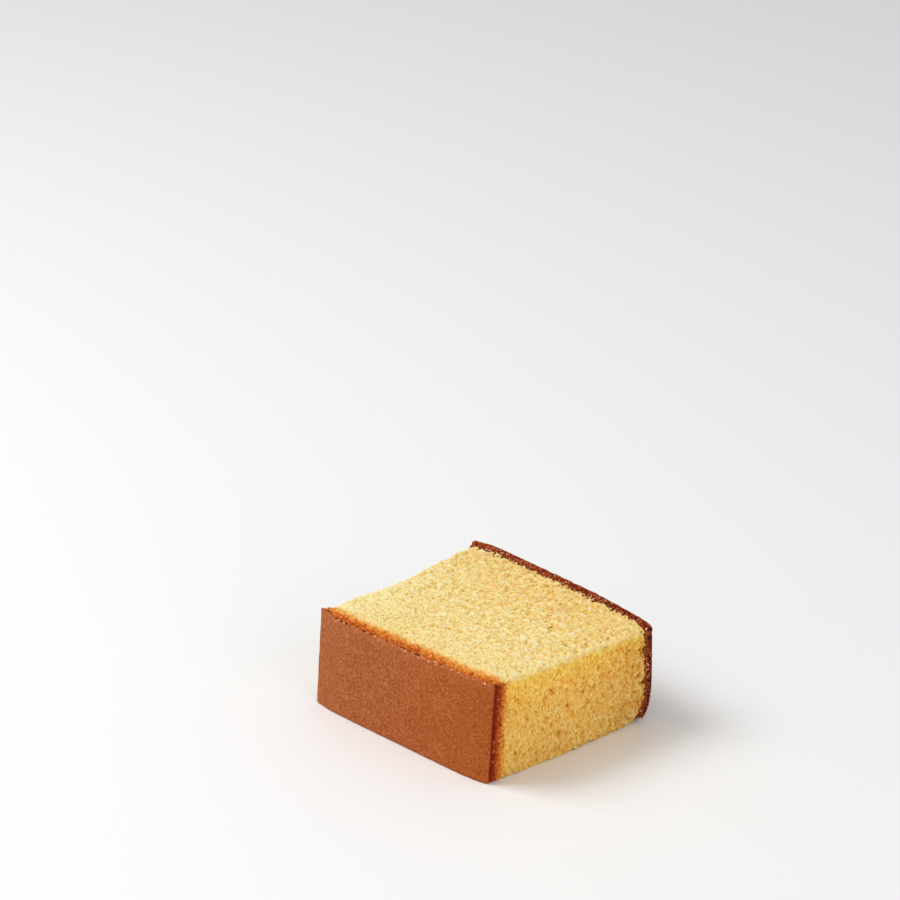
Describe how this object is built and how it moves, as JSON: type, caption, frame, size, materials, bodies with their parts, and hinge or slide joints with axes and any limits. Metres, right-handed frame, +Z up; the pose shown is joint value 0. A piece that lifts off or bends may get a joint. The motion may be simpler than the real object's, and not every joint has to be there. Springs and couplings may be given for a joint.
{
  "type": "castella sponge cake slice",
  "caption": "Slice of castella sponge cake lying on a cut face: thin browned top crust, dark bottom crust that stands out as a lip, and a hollow-sided yellow crumb.",
  "frame": {"origin": "under the middle of the slice, on the surface that carries its lower cut face", "axes": "+Z up through the slice's thickness, +X along the two crusts towards the curled corner, -Y towards the browned top crust, +Y towards the bottom crust"},
  "size_m": [0.0694, 0.0642, 0.0284],
  "materials": {
    "crumb": "soft open sponge crumb, matte",
    "top_crust": "thin baked skin, chestnut brown, matte",
    "bottom_crust": "dark baked sheet, slightly sticky and satin",
    "sugar": "coarse sugar grains, clear"
  },
  "bodies": {
    "root": {"castella_slice": "crumb"}
  },
  "joints": []
}
